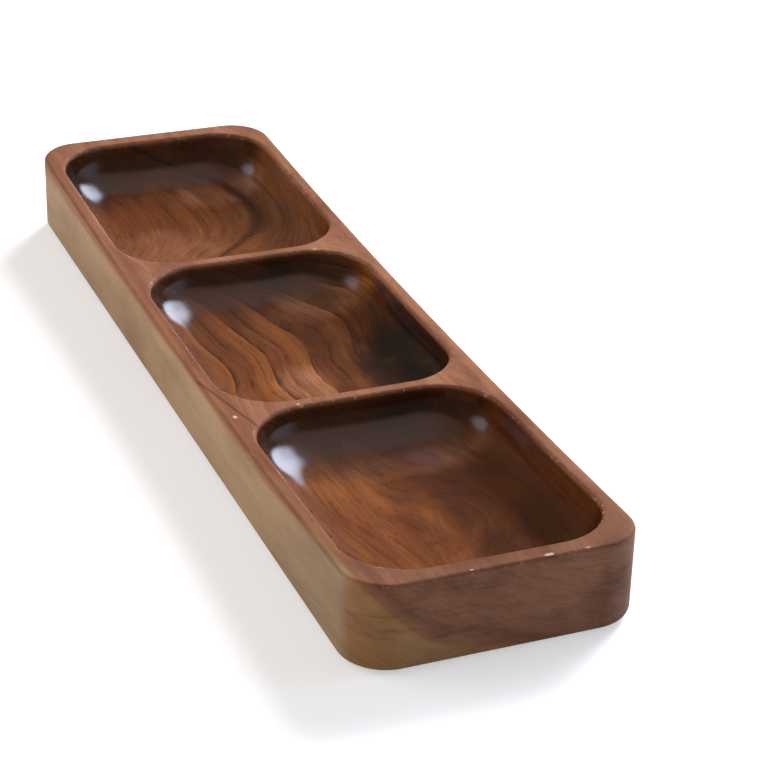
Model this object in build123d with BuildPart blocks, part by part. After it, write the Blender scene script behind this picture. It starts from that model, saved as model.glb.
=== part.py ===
"""Three-compartment snack dish, carved from one board of walnut, on four stick-on rubber pads.

Millimetres. X runs along the dish, Y across it and Z up. The origin is on the table,
under the middle of the dish.
"""
import os
from math import radians, tan

from build123d import *

# The board
dish_length = 400
dish_width = 105
board_thickness = 33
top_dip = 4.8
corner_radius = 17
top_edge_radius = 1.6
bottom_edge_radius = 2.2

# The hollows: their mouths, walls and floors
hollow_count = 3
side_rim_width = 5.5
end_rim_width = 8
divider_width = 5.2
mouth_corner_radius = 24
lip_radius = 1.5
wall_draft_degrees = 10
floor_thickness = 10
floor_radius_along = 640
floor_radius_across = 440
floor_blend_radius = 17
floor_blend_limit_share = 0.9

# The pads under the corners
pad_diameter = 12
pad_thickness = 1.2
pad_edge_radius = 0.3
pad_inset = 18

# How far a cutting tool runs past the face that it cuts
overrun = 2

underside = pad_thickness
end_top = underside + board_thickness
middle_top = end_top - top_dip
mouth_level = (end_top + middle_top) / 2
floor_level = underside + floor_thickness

hollow_length = (
    dish_length - 2 * end_rim_width - (hollow_count - 1) * divider_width
) / hollow_count
hollow_width = dish_width - 2 * side_rim_width
hollow_pitch = hollow_length + divider_width

wall_slope = tan(radians(wall_draft_degrees))
tool_top = end_top + overrun
tool_growth = (tool_top - mouth_level) * wall_slope
foot_corner_radius = mouth_corner_radius - (mouth_level - floor_level) * wall_slope
floor_blend = min(floor_blend_radius, foot_corner_radius * floor_blend_limit_share)


# The barrel's underside is the gently dished floor: an arc across the dish, turned about
# a line across the dish, high above it.
with BuildPart() as floor_barrel:
    with BuildSketch(Plane.YZ):
        with BuildLine():
            arc_edge_level = floor_level + floor_radius_across - (
                floor_radius_across**2 - (dish_width / 2) ** 2
            ) ** 0.5
            axis_level = floor_level + floor_radius_along
            ThreePointArc(
                (-dish_width / 2, arc_edge_level), (0, floor_level), (dish_width / 2, arc_edge_level)
            )
            Polyline(
                (dish_width / 2, arc_edge_level),
                (dish_width / 2, axis_level),
                (-dish_width / 2, axis_level),
                (-dish_width / 2, arc_edge_level),
            )
        make_face()
    revolve(axis=Axis((0, 0, axis_level), (0, 1, 0)))

# One hollow as a solid: drafted walls, a dished floor, and a large blend between them.
with BuildPart() as hollow:
    with BuildSketch(Plane.XY.offset(tool_top)):
        RectangleRounded(
            hollow_length + 2 * tool_growth,
            hollow_width + 2 * tool_growth,
            mouth_corner_radius + tool_growth,
        )
    extrude(amount=-(tool_top - underside), taper=wall_draft_degrees)
    add(floor_barrel.part, mode=Mode.INTERSECT)
    floor_face = hollow.faces().sort_by(Axis.Z)[0]
    fillet(floor_face.edges(), floor_blend)

# The dish itself: the board's side view with its dipped top, rounded corners, three hollows.
with BuildPart() as dish_body:
    with BuildSketch(Plane.XZ):
        with BuildLine():
            ThreePointArc((-dish_length / 2, end_top), (0, middle_top), (dish_length / 2, end_top))
            Polyline(
                (dish_length / 2, end_top),
                (dish_length / 2, underside),
                (-dish_length / 2, underside),
                (-dish_length / 2, end_top),
            )
        make_face()
    extrude(amount=dish_width / 2, both=True)
    fillet(dish_body.edges().filter_by(Axis.Z), corner_radius)
    rim_face = dish_body.faces().sort_by(Axis.Z)[-1]
    fillet(rim_face.edges(), top_edge_radius)
    fillet(dish_body.faces().sort_by(Axis.Z)[0].edges(), bottom_edge_radius)
    with GridLocations(hollow_pitch, 0, hollow_count, 1):
        add(hollow.part, mode=Mode.SUBTRACT)
    carved_rim = dish_body.faces().filter_by(GeomType.CYLINDER).sort_by(SortBy.AREA)[-1]
    mouth_edges = [edge for wire in carved_rim.inner_wires() for edge in wire.edges()]
    fillet(mouth_edges, lip_radius)
dish_body.part.label = "dish_body"

os.makedirs("parts", exist_ok=True)
export_step(dish_body.part, "parts/dish_body.step")

# Four rubber discs, stuck face to face to the flat underside, one near each corner.
# The first number of a place is the end of the dish and the second is its side.
pad_places = {
    "front_left_pad": (-1, -1),
    "front_right_pad": (1, -1),
    "back_left_pad": (-1, 1),
    "back_right_pad": (1, 1),
}
for pad_name, (end, side) in pad_places.items():
    with BuildPart() as pad:
        with BuildSketch(Plane.XY):
            with Locations((end * (dish_length / 2 - pad_inset), side * (dish_width / 2 - pad_inset))):
                Circle(pad_diameter / 2)
        extrude(amount=pad_thickness)
        fillet(pad.edges().group_by(Axis.Z)[0], pad_edge_radius)
    pad.part.label = pad_name
    export_step(pad.part, f"parts/{pad_name}.step")
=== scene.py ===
from math import cos, hypot, pi, radians, sin

import bpy
from mathutils import Matrix, Vector


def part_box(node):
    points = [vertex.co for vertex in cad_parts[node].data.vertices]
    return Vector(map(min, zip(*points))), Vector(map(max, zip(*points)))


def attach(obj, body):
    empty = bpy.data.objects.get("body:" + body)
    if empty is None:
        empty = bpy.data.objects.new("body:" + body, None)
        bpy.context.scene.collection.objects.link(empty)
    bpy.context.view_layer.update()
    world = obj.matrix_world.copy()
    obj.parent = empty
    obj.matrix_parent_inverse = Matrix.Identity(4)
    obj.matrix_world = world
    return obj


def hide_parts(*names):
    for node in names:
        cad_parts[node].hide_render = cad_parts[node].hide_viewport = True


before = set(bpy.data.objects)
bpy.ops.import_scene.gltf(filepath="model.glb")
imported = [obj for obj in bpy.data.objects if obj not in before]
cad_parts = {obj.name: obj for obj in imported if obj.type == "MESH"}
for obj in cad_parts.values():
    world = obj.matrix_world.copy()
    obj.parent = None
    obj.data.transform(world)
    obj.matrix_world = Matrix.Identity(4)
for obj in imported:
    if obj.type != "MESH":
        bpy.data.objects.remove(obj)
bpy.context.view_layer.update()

# The carved dish is one board of walnut with rounded corners, whose top dips a little at its middle.
# Three hollows are routed into it in a row, their mouths are rolled over and every edge is sanded.
# The hollows are lacquered to a gloss, and the rim and the sides are left satin.
board_low, board_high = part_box("dish_body")
board_length = board_high.x - board_low.x
board_width = board_high.y - board_low.y
underside = board_low.z
end_top = 0.0342
middle_top = 0.0294
mean_top = (end_top + middle_top) / 2
board_corner = 0.017
top_edge = 0.0016
bottom_edge = 0.0022
edge_steps = 6
flat_margin = 0.0006
corner_steps = 22
straight_step = 0.003
straight_slack = 0.001
side_cuts = 3
rim_slice = 0.00412

# The three hollows, and the softness that sanding leaves at the feet of their end walls.
side_rim = 0.0055
end_rim = 0.008
divider = 0.0052
hollow_length = (board_length - 2 * end_rim - 2 * divider) / 3
hollow_width = board_width - 2 * side_rim
hollow_pitch = hollow_length + divider
mouth_corner = 0.024
lip = 0.0015
draft = radians(10)
floor_level = 0.0112
floor_blend = 0.017
blend_steps = 22
wall_steps = 4
lip_steps = 6
floor_rings = 14
floor_radius_along = 0.640
floor_radius_across = 0.440
sanded_rise = 0.0012
sanded_middle = 0.0115
sanded_reach = 0.020
sanded_from = 0.002
sanded_full = 0.010
sanded_side = 0.016


def rounded_plate(name, length, width, corner, middle_x, level):
    """A flat plate facing up, left in edit mode with its one face selected."""
    bpy.ops.object.select_all(action="DESELECT")
    bpy.ops.mesh.primitive_plane_add(size=1, location=(middle_x, 0, level))
    plate = bpy.context.object
    plate.name = name
    plate.scale = (length, width, 1)
    bpy.ops.object.transform_apply(location=True, rotation=True, scale=True)
    bpy.ops.object.mode_set(mode="EDIT")
    bpy.ops.mesh.select_all(action="SELECT")
    bpy.ops.mesh.bevel(offset=corner, segments=corner_steps, affect="VERTICES", clamp_overlap=False)
    bpy.ops.mesh.select_all(action="SELECT")
    bpy.ops.mesh.delete(type="ONLY_FACE")
    for straight in (length - 2 * corner, width - 2 * corner):
        bpy.ops.mesh.select_all(action="DESELECT")
        bpy.ops.object.mode_set(mode="OBJECT")
        for edge in plate.data.edges:
            ends = [plate.data.vertices[i].co for i in edge.vertices]
            edge.select = abs((ends[0] - ends[1]).length - straight) < straight * straight_slack
        bpy.ops.object.mode_set(mode="EDIT")
        bpy.ops.mesh.subdivide(number_cuts=round(straight / straight_step))
    bpy.ops.mesh.select_all(action="SELECT")
    bpy.ops.mesh.edge_face_add()
    bpy.ops.object.mode_set(mode="OBJECT")
    faces_down = plate.data.polygons[0].normal.z < 0
    bpy.ops.object.mode_set(mode="EDIT")
    if faces_down:
        bpy.ops.mesh.flip_normals()
    return plate


def inset_along(profile):
    """Insets the selected face from point to point of a profile of (inward, upward) places."""
    for here, there in zip(profile, profile[1:]):
        bpy.ops.mesh.inset(thickness=there[0] - here[0], depth=there[1] - here[1], use_even_offset=True)


def rounded_over(radius):
    """The quarter round from an upright side to a flat face, then a narrow flat margin."""
    turns = [pi / 2 * step / edge_steps for step in range(edge_steps + 1)]
    arc = [(radius * (1 - cos(turn)), radius * sin(turn)) for turn in turns]
    return arc + [(radius + flat_margin, radius)]


def hollow_profile():
    """From the flat rim over the lip, down the drafted wall and round to the floor."""
    depth = mean_top - floor_level
    lip_reach = lip * (1 - sin(draft)) / cos(draft)
    blend_centre = lip_reach + (floor_blend - sin(draft) * (floor_blend - depth)) / cos(draft)
    points = [(-flat_margin, 0)]
    for step in range(lip_steps + 1):
        turn = pi / 2 + (draft - pi / 2) * step / lip_steps
        points.append((lip * cos(turn), lip * sin(turn) - lip))
    lip_end = points[-1]
    blend = []
    for step in range(blend_steps + 1):
        turn = pi + draft + (pi / 2 - draft) * step / blend_steps
        blend.append((blend_centre + floor_blend * cos(turn), floor_blend - depth + floor_blend * sin(turn)))
    for step in range(1, wall_steps):
        share = step / wall_steps
        points.append(tuple(a + (b - a) * share for a, b in zip(lip_end, blend[0])))
    return points + blend, lip_reach


def eased_share(value, low, high):
    """From 0 at low to 1 at high, smoothly."""
    share = min(1, max(0, (value - low) / (high - low)))
    return share * share * (3 - 2 * share)


def sanded_soft(x, y):
    """How much sanding leaves between a wall and the floor, for a place measured from the hollow's middle."""
    past_x = abs(x) - hollow_length / 2 + mouth_corner
    past_y = abs(y) - hollow_width / 2 + mouth_corner
    outside = hypot(max(past_x, 0), max(past_y, 0)) + min(max(past_x, past_y), 0)
    inset = mouth_corner - outside
    from_end = hollow_length / 2 - abs(x)
    from_side = hollow_width / 2 - abs(y)
    share = min(1, abs(from_end - sanded_middle) / sanded_reach)
    clear = eased_share(inset, sanded_from, sanded_full) * eased_share(from_side, sanded_from, sanded_side)
    return sanded_rise * (1 - share**2) ** 2 * clear


def routed_hollow(middle_x):
    """One hollow as an open shell, from the flat rim round its mouth down to its floor."""
    profile, lip_reach = hollow_profile()
    margin = flat_margin + lip_reach
    length = hollow_length + 2 * margin
    width = hollow_width + 2 * margin
    shell = rounded_plate("hollow", length, width, mouth_corner + margin, middle_x, mean_top)
    inset_along(profile)
    for ring in range(floor_rings):
        bpy.ops.mesh.extrude_region_move()
        shrink = (floor_rings - ring - 0.5) / (floor_rings - ring + 0.5)
        bpy.ops.transform.resize(value=(shrink, shrink, 1), center_override=(middle_x, 0, floor_level))
    bpy.ops.mesh.merge(type="CENTER")
    bpy.ops.object.mode_set(mode="OBJECT")
    for vertex in shell.data.vertices:
        share = min(1, max(0, (vertex.co.z - floor_level) / (mean_top - floor_level)))
        along = vertex.co.x - middle_x
        rise = along**2 / (2 * floor_radius_along) + vertex.co.y**2 / (2 * floor_radius_across)
        vertex.co.z += (1 - share) * rise + share * top_dip(vertex.co.x) + sanded_soft(along, vertex.co.y)
    return shell


def top_dip(x):
    """How far the top lies above its mean level there."""
    return middle_top + (end_top - middle_top) * (2 * x / board_length) ** 2 - mean_top


board_plan = (board_length, board_width, board_corner, 0)
outer_top = rounded_plate("outer_top", *board_plan, mean_top - top_edge)
inset_along(rounded_over(top_edge))
bpy.ops.mesh.delete(type="FACE")
bpy.ops.object.mode_set(mode="OBJECT")

outer_bottom = rounded_plate("outer_bottom", *board_plan, underside + bottom_edge)
bpy.ops.mesh.flip_normals()
inset_along(rounded_over(bottom_edge))
bpy.ops.object.mode_set(mode="OBJECT")

bpy.ops.object.select_all(action="DESELECT")
outer_top.select_set(True)
outer_bottom.select_set(True)
bpy.context.view_layer.objects.active = outer_top
bpy.ops.object.join()
bpy.ops.object.mode_set(mode="EDIT")
bpy.ops.mesh.select_mode(type="EDGE")
bpy.ops.mesh.select_all(action="DESELECT")
bpy.ops.object.mode_set(mode="OBJECT")
side_levels = (mean_top - top_edge, underside + bottom_edge)
tiny = 1e-6
for edge in outer_top.data.edges:
    ends = [outer_top.data.vertices[i].co.z for i in edge.vertices]
    edge.select = any(all(abs(z - level) < tiny for z in ends) for level in side_levels)
bpy.ops.object.mode_set(mode="EDIT")
bpy.ops.mesh.bridge_edge_loops(number_cuts=side_cuts)
bpy.ops.object.mode_set(mode="OBJECT")
for vertex in outer_top.data.vertices:
    share = (vertex.co.z - underside) / (mean_top - underside)
    vertex.co.z += share * top_dip(vertex.co.x)

shells = [routed_hollow(place * hollow_pitch) for place in (-1, 0, 1)]
bpy.ops.object.select_all(action="DESELECT")
for shell in shells:
    shell.select_set(True)
outer_top.select_set(True)
bpy.context.view_layer.objects.active = outer_top
bpy.ops.object.join()
dish = bpy.context.object
dish.name = "carved_dish"
bpy.ops.object.mode_set(mode="EDIT")
bpy.ops.mesh.select_mode(type="VERT")
bpy.ops.mesh.select_all(action="DESELECT")
bpy.ops.mesh.select_non_manifold()
bpy.ops.mesh.fill(use_beauty=True)
bpy.ops.mesh.hide(unselected=True)
slices = round(board_length / rim_slice)
for cut in range(1, slices):
    bpy.ops.mesh.select_all(action="SELECT")
    bpy.ops.mesh.bisect(plane_co=(board_low.x + board_length * cut / slices, 0, 0), plane_no=(1, 0, 0))
bpy.ops.object.mode_set(mode="OBJECT")
for vertex in dish.data.vertices:
    if not vertex.hide:
        vertex.co.z = mean_top + top_dip(vertex.co.x)
bpy.ops.object.mode_set(mode="EDIT")
bpy.ops.mesh.reveal()
bpy.ops.mesh.select_all(action="SELECT")
bpy.ops.mesh.normals_make_consistent(inside=False)
bpy.ops.object.mode_set(mode="OBJECT")
bpy.ops.object.select_all(action="DESELECT")
dish.select_set(True)
bpy.ops.object.shade_smooth()

# Where the lacquer begins below the rim, and how much each edge is worn.
lacquer_starts = 0.0010
lacquer_full = 0.0022
outer_wear = 0.25
fine_edge = 0.0005
lacquer = dish.data.attributes.new("lacquer", "FLOAT", "POINT")
worn = dish.data.attributes.new("worn", "FLOAT", "POINT")
for vertex in dish.data.vertices:
    depth = mean_top + top_dip(vertex.co.x) - vertex.co.z
    from_middle = min(abs(vertex.co.x - place * hollow_pitch) for place in (-1, 0, 1))
    inside = from_middle < hollow_length / 2 + fine_edge and abs(vertex.co.y) < hollow_width / 2 + fine_edge
    coated = min(1, max(0, (depth - lacquer_starts) / (lacquer_full - lacquer_starts)))
    lacquer.data[vertex.index].value = coated if inside else 0
    on_edge = tiny < depth < top_edge
    worn.data[vertex.index].value = (1 if inside else outer_wear) if on_edge else 0

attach(dish, "root")
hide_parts("dish_body")

# The wood's colours as a screen shows them, and the tones that are multiplied onto it.
heartwood = (164, 116, 84)
heartwood_light = (204, 152, 116)
heartwood_dark = (122, 80, 56)
late_wood = (74, 46, 35)
sapwood = (190, 162, 120)
sapwood_dark = (164, 134, 96)
ochre = (166, 118, 78)
# The stain colour is the real stain of the middle hollow, and it also paints shade in the near hollow's far
# band.
stain_and_shade = (68, 58, 62)
# The burl colour is partly the wood's dark figure and partly painted shade towards the hollows' right-hand
# walls.
burl_and_shade = (104, 62, 38)
bare_wood = (212, 180, 152)
# The tone above 1 below is painted light: it brightens patches in the hollows into a warm sheen and pools of
# light.
painted_light_tone = (1.70, 2.25, 4.00, 1)
# The tone for surfaces facing an end is partly the darker end grain and partly painted shade on the hollows'
# far walls.
end_grain_and_shade_tone = (0.50, 0.46, 0.44, 1)
dry_end_grain = 0.3
end_sapwood_tone = (1.0, 0.80, 0.60, 1)
lacquer_tone = (0.91, 0.90, 0.66, 1)
lacquer_deepening = 0.65
dry_tone = (0.80, 0.74, 0.78, 1)
near_end_tone = (0.75, 0.77, 0.80, 1)
near_end_range = (0.08, 0.19)
end_band_scale = (40, 34, 300)
end_band_range = (0.46, 0.74)
end_band_tone = (0.70, 0.66, 0.68, 1)
blotch_scale = (18, 110, 110)
blotch_range = (0.46, 0.76)
blotch_tone = (0.74, 0.68, 0.66, 1)


def colour(red, green, blue):
    """The shader's own colour for a colour as a screen shows it, from 0 to 255."""
    shares = [part / 255 for part in (red, green, blue)]
    return tuple(s / 12.92 if s < 0.04045 else ((s + 0.055) / 1.055) ** 2.4 for s in shares) + (1,)


def wired(tree, kind, inputs, output=0, **settings):
    """A shader node with its inputs set or joined. Gives back one of its outputs."""
    node = tree.nodes.new(kind)
    for name, value in settings.items():
        setattr(node, name, value)
    for place, value in inputs.items():
        if isinstance(value, bpy.types.NodeSocket):
            tree.links.new(value, node.inputs[place])
        else:
            node.inputs[place].default_value = value
    return node.outputs[output]


def sums(tree, operation, *values):
    """One step of arithmetic."""
    return wired(tree, "ShaderNodeMath", dict(enumerate(values)), operation=operation)


def product(tree, *values):
    """All of them multiplied."""
    total = values[0]
    for value in values[1:]:
        total = sums(tree, "MULTIPLY", total, value)
    return total


def at_least(tree, share, least):
    """A share drawn up so that it never falls below the least one."""
    return sums(tree, "MULTIPLY_ADD", share, 1 - least, least)


def bell(tree, squares):
    """1 where the square of a distance is 0, falling softly to 0 as it grows."""
    return sums(tree, "EXPONENT", product(tree, squares, -1))


def bell_around(tree, value, middle, width):
    """A bell along one number, around its middle."""
    off = sums(tree, "DIVIDE", sums(tree, "SUBTRACT", value, middle), width)
    return bell(tree, product(tree, off, off))


def eased(tree, value, low, high, smooth=True):
    """Goes from 0 at low to 1 at high, smoothly or straight, and no further."""
    kind = "SMOOTHSTEP" if smooth else "LINEAR"
    inputs = {"Value": value, "From Min": low, "From Max": high, "To Min": 0, "To Max": 1}
    return wired(tree, "ShaderNodeMapRange", inputs, interpolation_type=kind)


def cloudy(tree, place, scale, detail=2.0, roughness=0.5):
    """Soft noise from 0 to 1 at a place, drawn out by a scale for each direction."""
    stretched = wired(tree, "ShaderNodeVectorMath", {0: place, 1: scale}, operation="MULTIPLY")
    inputs = {"Vector": stretched, "Scale": 1, "Detail": detail, "Roughness": roughness}
    return wired(tree, "ShaderNodeTexNoise", inputs)


def wavering(tree, place, scale, detail=2.0, roughness=0.5):
    """The same noise, around 0."""
    return sums(tree, "SUBTRACT", cloudy(tree, place, scale, detail, roughness), 0.5)


def banded(tree, value, scale, detail=2.0):
    """Soft noise from 0 to 1 along one number, so that it makes bands."""
    inputs = {"W": product(tree, value, scale), "Scale": 1, "Detail": detail}
    return wired(tree, "ShaderNodeTexNoise", inputs, noise_dimensions="1D")


def mixed(tree, share, under, over):
    """One colour over another by a share."""
    return wired(tree, "ShaderNodeMix", {0: share, 6: under, 7: over}, output=2, data_type="RGBA")


def tinted(tree, wood, tint, *shares):
    """The wood stained with a colour as a screen shows it, by the product of the shares."""
    return mixed(tree, product(tree, *shares), wood, colour(*tint))


def toned(tree, wood, tone, *shares):
    """The wood multiplied by a tone, by the product of the shares."""
    inputs = {0: product(tree, *shares), 6: wood, 7: tone}
    return wired(tree, "ShaderNodeMix", inputs, output=2, data_type="RGBA", blend_type="MULTIPLY")


def apart(tree, x, y, spot):
    """The square of how far a place lies from a spot's middle, 1 on the spot's oval edge."""
    along = sums(tree, "DIVIDE", sums(tree, "SUBTRACT", x, spot["x"]), spot["half_x"])
    across = sums(tree, "DIVIDE", sums(tree, "SUBTRACT", y, spot["y"]), spot["half_y"])
    return sums(tree, "ADD", product(tree, along, along), product(tree, across, across))


# The trunk that the board was sawn from: its pith, its sway and the border of its sapwood.
pith_y = 0.077
pith_z = 0.1812
heartwood_radius = 0.2010
near_end_sway = 0.007
near_end_sway_from = 0.110
near_end_sway_to = 0.190
far_slant = 0.0145
far_slant_from = -0.165
far_slant_to = -0.105
far_slant_left = -0.055
far_slant_right = -0.005
border_wander = 0.0020
border_wander_scale = (24, 24, 24)
border_sag = 0.0050
border_sag_middle = -0.027
border_sag_reach = 0.015
border_drop_in_hollows = 0.012
ochre_zone = (-0.0030, -0.0008)
sapwood_zone = (-0.0008, 0.0012)


def trunk_radius(tree, place, x):
    """How far a place lies from the pith, with the trunk's sway."""
    centred = wired(tree, "ShaderNodeVectorMath", {0: place, 1: (0, pith_y, pith_z)}, operation="SUBTRACT")
    across = wired(tree, "ShaderNodeVectorMath", {0: centred, 1: (0, 1, 1)}, operation="MULTIPLY")
    radius = wired(tree, "ShaderNodeVectorMath", {0: across}, output="Value", operation="LENGTH")
    near = eased(tree, x, near_end_sway_from, near_end_sway_to)
    return sums(tree, "MULTIPLY_ADD", near, near_end_sway, radius)


def past_border(tree, place, x, y, radius, coated):
    """How far a place lies past the sapwood's border, which slants at the far end and sags at the near."""
    far = eased(tree, x, far_slant_to, far_slant_from, smooth=False)
    far = product(tree, far, eased(tree, y, far_slant_left, far_slant_right))
    radius = sums(tree, "MULTIPLY_ADD", far, far_slant, radius)
    sag = bell_around(tree, y, border_sag_middle, border_sag_reach)
    sag = product(tree, sag, eased(tree, x, near_end_sway_from, near_end_sway_to))
    radius = sums(tree, "MULTIPLY_ADD", sag, -border_sag, radius)
    radius = sums(tree, "MULTIPLY_ADD", wavering(tree, place, border_wander_scale), border_wander, radius)
    past = sums(tree, "SUBTRACT", radius, heartwood_radius)
    return sums(tree, "MULTIPLY_ADD", coated, -border_drop_in_hollows, past)


# Knots that pull the grain aside, the flames of the middle hollow, and a fine ripple.
knots = (
    {"x": -0.092, "y": 0.020, "half_x": 0.028, "half_y": 0.080, "pull": -0.0140},
    {"x": 0.010, "y": 0.052, "half_x": 0.030, "half_y": 0.026, "pull": -0.0065},
    {"x": 0.130, "y": 0.020, "half_x": 0.030, "half_y": 0.021, "pull": 0.0135},
)
flame_height = 0.0009
flame_length = 0.052
flame_crest = -0.014
flame_lean = -0.35
flame_reach = 0.055
ripple = 0.0033
ripple_scale = (30, 46, 46)


def figured_radius(tree, place, x, y, radius):
    """The distance from the pith as the grain shows it, pulled aside by knots and rippled like flames."""
    for knot in knots:
        radius = sums(tree, "MULTIPLY_ADD", bell(tree, apart(tree, x, y, knot)), knot["pull"], radius)
    leaning = sums(tree, "MULTIPLY_ADD", y, -flame_lean, sums(tree, "SUBTRACT", x, flame_crest))
    wave = sums(tree, "COSINE", product(tree, leaning, 2 * pi / flame_length))
    fading = bell_around(tree, x, 0, flame_reach)
    radius = sums(tree, "MULTIPLY_ADD", product(tree, wave, fading), flame_height, radius)
    waves = wavering(tree, place, ripple_scale, detail=5, roughness=0.58)
    return sums(tree, "MULTIPLY_ADD", waves, ripple, radius)


# The growth rings, liveliest in the middle hollow and faint where there is no lacquer.
ring_spacing = 0.0082
ring_phase = -0.465
ring_unevenness = 0.25
ring_unevenness_scale = 90
early_sharpness = 2
early_depth = 0.55
late_sharpness = 16
late_depth = 0.95
between_shift = 0.42
between_sharpness = 14
between_strength = 0.75
ring_breaks = (0.32, 0.62)
ring_breaks_scale = (55, 90, 90)
fine_rings = 4.3
fine_sharpness = 4
fine_step = 5.17
fine_depth = 0.65
calm_reach = 0.070
calm_blur = 0.02
calm_contrast = 0.20
dry_contrast = 0.25


def ringed(tree, wood, place, x, radius, coated):
    """The heartwood with its growth rings: pale early wood, fine lines and dark late wood."""
    uneven = product(tree, banded(tree, radius, ring_unevenness_scale), ring_unevenness)
    ring = sums(tree, "ADD", sums(tree, "MULTIPLY_ADD", radius, 1 / ring_spacing, ring_phase), uneven)
    through = sums(tree, "FRACT", ring)
    early = sums(tree, "POWER", sums(tree, "SUBTRACT", 1, through), early_sharpness)
    late = sums(tree, "POWER", through, late_sharpness)
    between = sums(tree, "FRACT", sums(tree, "ADD", ring, between_shift))
    between = sums(tree, "POWER", between, between_sharpness)
    late = sums(tree, "MAXIMUM", late, product(tree, between, between_strength))
    late = product(tree, late, eased(tree, cloudy(tree, place, ring_breaks_scale), *ring_breaks))
    finely = product(tree, ring, fine_rings)
    fine = sums(tree, "POWER", sums(tree, "FRACT", finely), fine_sharpness)
    fine = product(tree, fine, banded(tree, sums(tree, "FLOOR", finely), fine_step, detail=0))
    lively = eased(tree, sums(tree, "ABSOLUTE", x), calm_reach, calm_reach - calm_blur)
    lively = at_least(tree, lively, calm_contrast)
    lively = product(tree, lively, at_least(tree, coated, dry_contrast))
    wood = tinted(tree, wood, heartwood_light, early, lively, early_depth)
    wood = tinted(tree, wood, heartwood_dark, fine, lively, fine_depth)
    return tinted(tree, wood, late_wood, late, lively, late_depth)


# The dark stain and burls, painted shade, and painted light and reflection, all of them in the hollows.
ragged = 0.8
ragged_scale = (40, 110, 110)
mottle_scale = (60, 90, 90)
mottle_range = (0.25, 0.58)
least_mottle = 0.62
dark_places_and_painted_shade = (
    {"tint": stain_and_shade, "x": 0.019, "y": 0.045, "half_x": 0.032, "half_y": 0.023, "depth": 0.95, "blur": 0.52},
    {"tint": burl_and_shade, "x": -0.016, "y": 0.042, "half_x": 0.016, "half_y": 0.012, "depth": 0.70, "blur": 0.9},
    {"tint": burl_and_shade, "x": -0.020, "y": 0.014, "half_x": 0.020, "half_y": 0.008, "depth": 0.35, "blur": 0.9},
    # The wide patches at x 0.010, 0.137 and -0.150 darken the hollows towards their right-hand walls. They
    # are partly the wood's darker figure and partly painted shade where those walls keep the key off.
    {"tint": burl_and_shade, "x": 0.010, "y": 0.022, "half_x": 0.070, "half_y": 0.013, "depth": 0.48, "blur": 0.9},
    {"tint": burl_and_shade, "x": 0.137, "y": 0.030, "half_x": 0.075, "half_y": 0.032, "depth": 0.42, "blur": 0.9},
    {"tint": burl_and_shade, "x": 0.115, "y": 0.012, "half_x": 0.020, "half_y": 0.018, "depth": 0.34, "blur": 0.7},
    {"tint": burl_and_shade, "x": 0.150, "y": 0.037, "half_x": 0.018, "half_y": 0.008, "depth": 0.50, "blur": 0.9},
    {"tint": burl_and_shade, "x": 0.158, "y": 0.018, "half_x": 0.012, "half_y": 0.006, "depth": 0.45, "blur": 0.9},
    # Painted shade: the far band of the near hollow, where the divider casts the key's shadow, is greyed to
    # the stain's colour.
    {"tint": stain_and_shade, "x": 0.083, "y": -0.004, "half_x": 0.012, "half_y": 0.036, "depth": 0.35, "blur": 0.9},
    {"tint": burl_and_shade, "x": -0.150, "y": 0.006, "half_x": 0.030, "half_y": 0.026, "depth": 0.22, "blur": 0.9},
)
# Painted light and painted reflection: patches brightened by that tone. They give the warm sheen in the
# lacquer near the far walls and pools of light on the floors.
painted_light_places = (
    {"x": 0.020, "y": -0.002, "half_x": 0.015, "half_y": 0.011, "depth": 0.62, "blur": 0.9},
    {"x": 0.093, "y": 0.012, "half_x": 0.007, "half_y": 0.026, "depth": 0.25, "blur": 0.9},
    {"x": -0.170, "y": 0.024, "half_x": 0.012, "half_y": 0.018, "depth": 0.60, "blur": 0.9},
    {"x": -0.043, "y": 0.024, "half_x": 0.011, "half_y": 0.016, "depth": 0.65, "blur": 0.9},
    {"x": 0.090, "y": 0.026, "half_x": 0.011, "half_y": 0.014, "depth": 0.55, "blur": 0.9},
    {"x": -0.116, "y": -0.012, "half_x": 0.022, "half_y": 0.022, "depth": 0.50, "blur": 0.9},
    {"x": -0.130, "y": 0.038, "half_x": 0.050, "half_y": 0.014, "depth": 0.34, "blur": 0.9},
)


def spotted(tree, wood, place, x, y, coated):
    """The lacquered wood with its stain and burls, painted shade, and painted light and reflection where it
    is lit brighter.
    """
    edge_noise = wavering(tree, place, ragged_scale, detail=5, roughness=0.62)
    mottle = eased(tree, cloudy(tree, place, mottle_scale, detail=4), *mottle_range)
    mottle = at_least(tree, mottle, least_mottle)
    for spot in dark_places_and_painted_shade + painted_light_places:
        squares = sums(tree, "MULTIPLY_ADD", edge_noise, 2 * ragged, apart(tree, x, y, spot))
        shade = eased(tree, squares, 1 + spot["blur"], 1 - spot["blur"])
        shares = (shade, coated, mottle, spot["depth"])
        if "tint" in spot:
            wood = tinted(tree, wood, spot["tint"], *shares)
        else:
            wood = toned(tree, wood, painted_light_tone, *shares)
    return wood


# Edges that are rubbed bare, and a few nicks.
speck_scale = (520, 520, 520)
speck_range = (0.58, 0.68)
speck_depth = 0.55
crowding_scale = (60, 60, 60)
crowding_range = (0.42, 0.62)
least_crowding = 0.2
chip_scale = (900, 900, 900)
chip_range = (2.0, 1.2)
chip_depth = 0.75
chip_raggedness = 1.6
nicks = (
    {"x": 0.0683, "y": -0.0482, "half_x": 0.0012, "half_y": 0.0009},
    {"x": 0.1984, "y": 0.0150, "half_x": 0.0008, "half_y": 0.0020},
    {"x": 0.1987, "y": 0.0290, "half_x": 0.0003, "half_y": 0.0012},
    {"x": 0.1987, "y": -0.0125, "half_x": 0.0004, "half_y": 0.0008},
    {"x": -0.0620, "y": 0.0309, "half_x": 0.0006, "half_y": 0.0007},
    {"x": 0.0663, "y": -0.0233, "half_x": 0.0006, "half_y": 0.0007},
)


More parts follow.
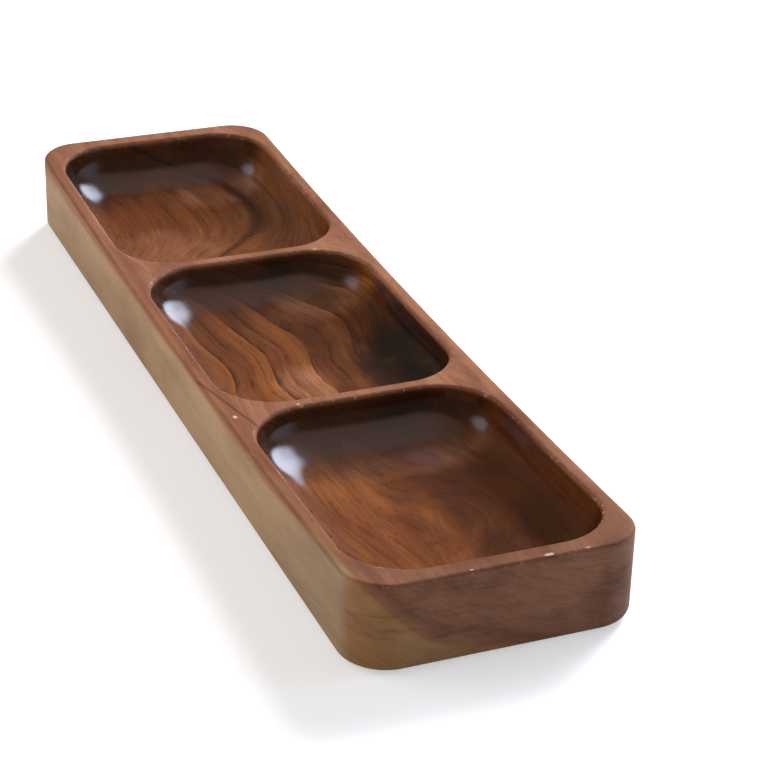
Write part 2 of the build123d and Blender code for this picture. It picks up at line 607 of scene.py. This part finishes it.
def worn_bare(tree, place, x, y, edges, dry):
    """Where the edges are rubbed or chipped down to pale wood."""
    specks = eased(tree, cloudy(tree, place, speck_scale), *speck_range)
    crowding = eased(tree, cloudy(tree, place, crowding_scale), *crowding_range)
    bare = product(tree, specks, at_least(tree, crowding, least_crowding), edges, speck_depth)
    chips = cloudy(tree, place, chip_scale)
    for nick in nicks:
        squares = sums(tree, "MULTIPLY_ADD", chips, chip_raggedness, apart(tree, x, y, nick))
        chip = eased(tree, squares, *chip_range)
        bare = sums(tree, "MAXIMUM", bare, product(tree, chip, dry, chip_depth))
    return bare


# The grain drawn out along the board, the dark lines in it, and the coat.
streaks_scale = (9, 520, 90)
streaks_range = (0.45, 0.75)
streaks_depth = 0.45
hairs_scale = (26, 2400, 420)
hairs_range = (0.5, 0.8)
hairs_depth = 0.30
furrows_scale = (14, 1500, 200)
furrows_range = (0.45, 0.70)
furrows_depth = 0.30
pores_scale = (150, 2600, 1500)
pores_range = (0.62, 0.72)
pores_depth = 0.40
clouds_scale = (14, 40, 40)
light_clouds = (0.50, 0.80)
dark_clouds = (0.50, 0.25)
sapwood_clouds = (0.60, 0.30)
sapwood_streaks_depth = 0.50
sapwood_pores_depth = 0.35
facing_up = (0.3, 0.8)
facing_an_end = (0.05, 0.55)

inner_line = 0.0050
inner_line_width = 0.0022
inner_line_depth = 0.55
rim_line = {"x": 0.0560, "y": -0.0478, "half_x": 0.0250, "half_y": 0.0006}
rim_line_slope = 0.22
rim_line_depth = 0.55
rim_line_edge = (2.2, 0.3)
vein_radius = 0.1736
vein_width = 0.0010
vein_depth = 0.50
vein_from = -0.090
vein_to = -0.110

satin_roughness = 0.50
satin_unevenness = 0.15
coat_roughness = 0.16
coat_ior = 1.7
bare_specular = 0.1
hairs_relief = 0.4
relief_strength = 0.25
relief_height = 0.0002


def walnut():
    """Walnut with its growth rings, sapwood, stain and pores, glossy where it is lacquered, with painted
    shade and light in its hollows.
    """
    material = bpy.data.materials.new("walnut")
    material.use_nodes = True
    tree = material.node_tree
    shader = tree.nodes["Principled BSDF"]
    place = wired(tree, "ShaderNodeTexCoord", {}, output="Object")
    x = wired(tree, "ShaderNodeSeparateXYZ", {0: place}, output="X")
    y = wired(tree, "ShaderNodeSeparateXYZ", {0: place}, output="Y")
    coated = wired(tree, "ShaderNodeAttribute", {}, output="Fac", attribute_name="lacquer")
    edges = wired(tree, "ShaderNodeAttribute", {}, output="Fac", attribute_name="worn")
    dry = sums(tree, "SUBTRACT", 1, coated)
    outward = wired(tree, "ShaderNodeNewGeometry", {}, output="Normal")
    upward = eased(tree, wired(tree, "ShaderNodeSeparateXYZ", {0: outward}, output="Z"), *facing_up)
    endways = sums(tree, "ABSOLUTE", wired(tree, "ShaderNodeSeparateXYZ", {0: outward}, output="X"))
    endways = eased(tree, endways, *facing_an_end)

    trunk = trunk_radius(tree, place, x)
    radius = figured_radius(tree, place, x, y, trunk)
    grain = wired(tree, "ShaderNodeCombineXYZ", {0: x, 1: radius, 2: y})
    clouds = cloudy(tree, place, clouds_scale, detail=4)
    streaks = cloudy(tree, grain, streaks_scale, detail=5, roughness=0.6)
    hairs = cloudy(tree, grain, hairs_scale, detail=3)
    dark_streaks = eased(tree, streaks, *streaks_range)
    dark_hairs = eased(tree, hairs, *hairs_range)
    furrows = eased(tree, cloudy(tree, grain, furrows_scale), *furrows_range)
    pores = eased(tree, cloudy(tree, grain, pores_scale, detail=1), *pores_range)

    heart = mixed(tree, eased(tree, clouds, *light_clouds), colour(*heartwood), colour(*heartwood_light))
    heart = tinted(tree, heart, heartwood_dark, eased(tree, clouds, *dark_clouds))
    heart = ringed(tree, heart, place, x, radius, coated)
    heart = tinted(tree, heart, heartwood_dark, dark_streaks, streaks_depth)
    heart = tinted(tree, heart, heartwood_dark, dark_hairs, hairs_depth)
    heart = tinted(tree, heart, heartwood_dark, furrows, furrows_depth)
    heart = tinted(tree, heart, late_wood, pores, pores_depth)

    sap = mixed(tree, eased(tree, clouds, *sapwood_clouds), colour(*sapwood), colour(*sapwood_dark))
    sap = tinted(tree, sap, sapwood_dark, dark_streaks, sapwood_streaks_depth)
    sap = tinted(tree, sap, sapwood_dark, dark_hairs, hairs_depth)
    sap = tinted(tree, sap, ochre, pores, sapwood_pores_depth)
    sap = toned(tree, sap, end_sapwood_tone, endways)

    past = past_border(tree, place, x, y, trunk, coated)
    inner = bell_around(tree, past, -inner_line, inner_line_width)
    heart = tinted(tree, heart, heartwood_dark, inner, dry, inner_line_depth)
    wood = tinted(tree, heart, ochre, eased(tree, past, *ochre_zone))
    wood = mixed(tree, eased(tree, past, *sapwood_zone), wood, sap)
    slope = product(tree, sums(tree, "SUBTRACT", x, rim_line["x"]), rim_line_slope)
    squares = apart(tree, x, sums(tree, "SUBTRACT", y, slope), rim_line)
    line = eased(tree, squares, *rim_line_edge)
    wood = tinted(tree, wood, late_wood, line, dry, upward, rim_line_depth)
    wood = spotted(tree, wood, place, x, y, coated)
    vein = bell_around(tree, radius, vein_radius, vein_width)
    wood = tinted(tree, wood, late_wood, vein, eased(tree, x, vein_from, vein_to), coated, vein_depth)

    # Surfaces facing an end are darkened by the darker end grain. In the lacquered hollows, from the foot of
    # the blend up the far walls, this is also painted shade.
    wood = toned(tree, wood, end_grain_and_shade_tone, endways, at_least(tree, coated, dry_end_grain))
    wood = toned(tree, wood, dry_tone, dry)
    wood = toned(tree, wood, near_end_tone, eased(tree, x, *near_end_range), dry)
    bands = eased(tree, cloudy(tree, place, end_band_scale, detail=6, roughness=0.66), *end_band_range)
    wood = toned(tree, wood, end_band_tone, bands, endways, dry)
    blotches = eased(tree, cloudy(tree, place, blotch_scale, detail=4), *blotch_range)
    wood = toned(tree, wood, blotch_tone, blotches, upward, dry)
    wood = tinted(tree, wood, bare_wood, worn_bare(tree, place, x, y, edges, dry))
    wood = toned(tree, wood, lacquer_tone, coated)

    deepened = sums(tree, "MULTIPLY_ADD", coated, lacquer_deepening, 1)
    dents = sums(tree, "SUBTRACT", product(tree, hairs, hairs_relief), pores)
    relief = {"Height": dents, "Strength": relief_strength, "Distance": relief_height}
    tree.links.new(wired(tree, "ShaderNodeGamma", {0: wood, 1: deepened}), shader.inputs["Base Color"])
    tree.links.new(coated, shader.inputs["Coat Weight"])
    roughness = sums(tree, "MULTIPLY_ADD", streaks, satin_unevenness, satin_roughness)
    tree.links.new(roughness, shader.inputs["Roughness"])
    tree.links.new(wired(tree, "ShaderNodeBump", relief, output="Normal"), shader.inputs["Normal"])
    shader.inputs["Coat Roughness"].default_value = coat_roughness
    shader.inputs["Coat IOR"].default_value = coat_ior
    shader.inputs["Specular IOR Level"].default_value = bare_specular
    return material


dish.data.materials.clear()
dish.data.materials.append(walnut())

# Four round pads of black rubber are stuck to the underside with their own adhesive.
# They are punched from sheet, with a softened rim, and only a sliver of them shows.
rubber_black = (38, 34, 32)
rubber_grey = (62, 57, 54)
rubber_roughness = 0.65
dust_scale = (260, 260, 260)
dust_range = (0.35, 0.75)
dust_roughness = 0.2
pebble_scale = (2600, 2600, 2600)
pebble_strength = 0.4
pebble_height = 0.0001


def pad_rubber():
    """Dull rubber with a fine pebbled skin and a little dust."""
    material = bpy.data.materials.new("pad_rubber")
    material.use_nodes = True
    tree = material.node_tree
    shader = tree.nodes["Principled BSDF"]
    place = wired(tree, "ShaderNodeTexCoord", {}, output="Object")
    dust = cloudy(tree, place, dust_scale, detail=4)
    skin = mixed(tree, eased(tree, dust, *dust_range), colour(*rubber_black), colour(*rubber_grey))
    pebbles = cloudy(tree, place, pebble_scale)
    relief = {"Height": pebbles, "Strength": pebble_strength, "Distance": pebble_height}
    roughness = sums(tree, "MULTIPLY_ADD", dust, dust_roughness, rubber_roughness)
    tree.links.new(skin, shader.inputs["Base Color"])
    tree.links.new(roughness, shader.inputs["Roughness"])
    tree.links.new(wired(tree, "ShaderNodeBump", relief, output="Normal"), shader.inputs["Normal"])
    return material


rubber = pad_rubber()
for name in ("front_left_pad", "front_right_pad", "back_left_pad", "back_right_pad"):
    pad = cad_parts[name]
    pad.data.materials.clear()
    pad.data.materials.append(rubber)

# The plain pale floor that the dish stands on: a sheet of matt white paper, wide enough to fill the view.
# It isn't part of the object. The camera and the lacquer see it whiter than the light on the object
# would leave it, with the dish's shadow on it.
floor_size = 12
floor_white = 0.86
floor_seen = 0.68
floor_glow = 0.46
paper_roughness = 0.9
bpy.ops.object.select_all(action="DESELECT")
bpy.ops.mesh.primitive_plane_add(size=floor_size, location=(0, 0, 0))
floor = bpy.context.object
floor.name = "floor"
paper = bpy.data.materials.new("paper")
paper.use_nodes = True
tree = paper.node_tree
surface = tree.nodes["Principled BSDF"]
surface.inputs["Roughness"].default_value = paper_roughness
surface.inputs["Emission Color"].default_value = (1, 1, 1, 1)
rays = tree.nodes.new("ShaderNodeLightPath")
seen = sums(tree, "MAXIMUM", rays.outputs["Is Camera Ray"], rays.outputs["Is Glossy Ray"])
seen = sums(tree, "MAXIMUM", seen, rays.outputs["Is Transmission Ray"])
lit_white = (floor_white, floor_white, floor_white, 1)
seen_white = (floor_seen, floor_seen, floor_seen, 1)
tree.links.new(mixed(tree, seen, lit_white, seen_white), surface.inputs["Base Color"])
tree.links.new(product(tree, seen, floor_glow), surface.inputs["Emission Strength"])
floor.data.materials.append(paper)

# The light is soft daylight in a pale room: a broad key from behind, a weak fill from the left, and two
# low lights for the near end and its right-hand corner. Only the lacquer shows the window behind,
# the smaller one on the left, the weak light on the right and the dim sheen from above.
key_direction = Vector((-0.58, 0.63, 0.52))
key_spread = radians(24)
key_level = 0.70
fill_direction = Vector((-0.40, -0.75, 0.50))
fill_spread = radians(60)
fill_level = 0.20
front_direction = Vector((0.74, -0.64, 0.18))
front_spread = radians(50)
front_level = 0.042
side_direction = Vector((0.20, 0.97, 0.06))
side_spread = radians(24)
side_level = 0.078
side_tint = (0.35, 0.65, 1.0)
room_dimness = (0.088, 0.076, 0.056)
bright_patches = (
    {"azimuth": 124, "elevation": 33, "core": 4, "edge": 20, "glow": (5.9, 6.6, 8.3)},
    {"azimuth": -120, "elevation": 38, "core": 5, "edge": 20, "glow": (0.95, 0.90, 1.10)},
    {"azimuth": 78, "elevation": 66, "core": 12, "edge": 44, "glow": (0.46, 0.31, 0.28)},
    {"azimuth": 62, "elevation": 10, "core": 6, "edge": 38, "glow": (0.42, 0.40, 0.50)},
)


def hang_sky(name, direction, spread, level, tint=(1, 1, 1)):
    """A broad patch of daylight. It brings the level floor to that share of white."""
    sky = bpy.data.objects.new(name, bpy.data.lights.new(name, "SUN"))
    bpy.context.scene.collection.objects.link(sky)
    sky.rotation_mode = "QUATERNION"
    sky.rotation_quaternion = direction.to_track_quat("Z", "Y")
    sky.data.angle = spread
    sky.data.color = tint
    sky.data.energy = level * pi / direction.normalized().z
    sky.visible_glossy = False


hang_sky("key", key_direction, key_spread, key_level)
hang_sky("fill", fill_direction, fill_spread, fill_level)
hang_sky("front", front_direction, front_spread, front_level)
hang_sky("side", side_direction, side_spread, side_level, side_tint)

room = bpy.data.worlds.new("room")
room.use_nodes = True
bpy.context.scene.world = room
tree = room.node_tree
facing = wired(tree, "ShaderNodeTexCoord", {}, output="Generated")
shining = room_dimness
for patch in bright_patches:
    azimuth = radians(patch["azimuth"])
    elevation = radians(patch["elevation"])
    towards = (cos(elevation) * cos(azimuth), cos(elevation) * sin(azimuth), sin(elevation))
    inputs = {0: facing, 1: towards}
    aligned = wired(tree, "ShaderNodeVectorMath", inputs, output="Value", operation="DOT_PRODUCT")
    spot = eased(tree, aligned, cos(radians(patch["edge"])), cos(radians(patch["core"])))
    shine = wired(tree, "ShaderNodeVectorMath", {0: patch["glow"], 3: spot}, operation="SCALE")
    shining = wired(tree, "ShaderNodeVectorMath", {0: shining, 1: shine}, operation="ADD")
tree.links.new(shining, tree.nodes["Background"].inputs["Color"])
bpy.context.scene.view_settings.view_transform = "Standard"

# The camera, at the photograph's angle. Its place, roll and lens were fitted to the edges of the board,
# the rims and the dividers.
camera_azimuth = radians(67.41)
camera_elevation = radians(27.26)
camera_roll = radians(1.61)
camera_distance = 0.94034
aim = Vector((0.01027, 0.03377, underside))
image_width = 768
focal_pixels = 2360.24
film_width = 36
camera_data = bpy.data.cameras.new("camera")
camera = bpy.data.objects.new("camera", camera_data)
bpy.context.scene.collection.objects.link(camera)
back = Vector((
    sin(camera_azimuth) * cos(camera_elevation),
    -cos(camera_azimuth) * cos(camera_elevation),
    sin(camera_elevation),
))
turn = (-back).to_track_quat("-Z", "Y").to_matrix() @ Matrix.Rotation(camera_roll, 3, "Z")
camera.matrix_world = Matrix.Translation(aim + back * camera_distance) @ turn.to_4x4()
camera_data.sensor_width = film_width
camera_data.lens = film_width * focal_pixels / image_width
bpy.context.scene.camera = camera
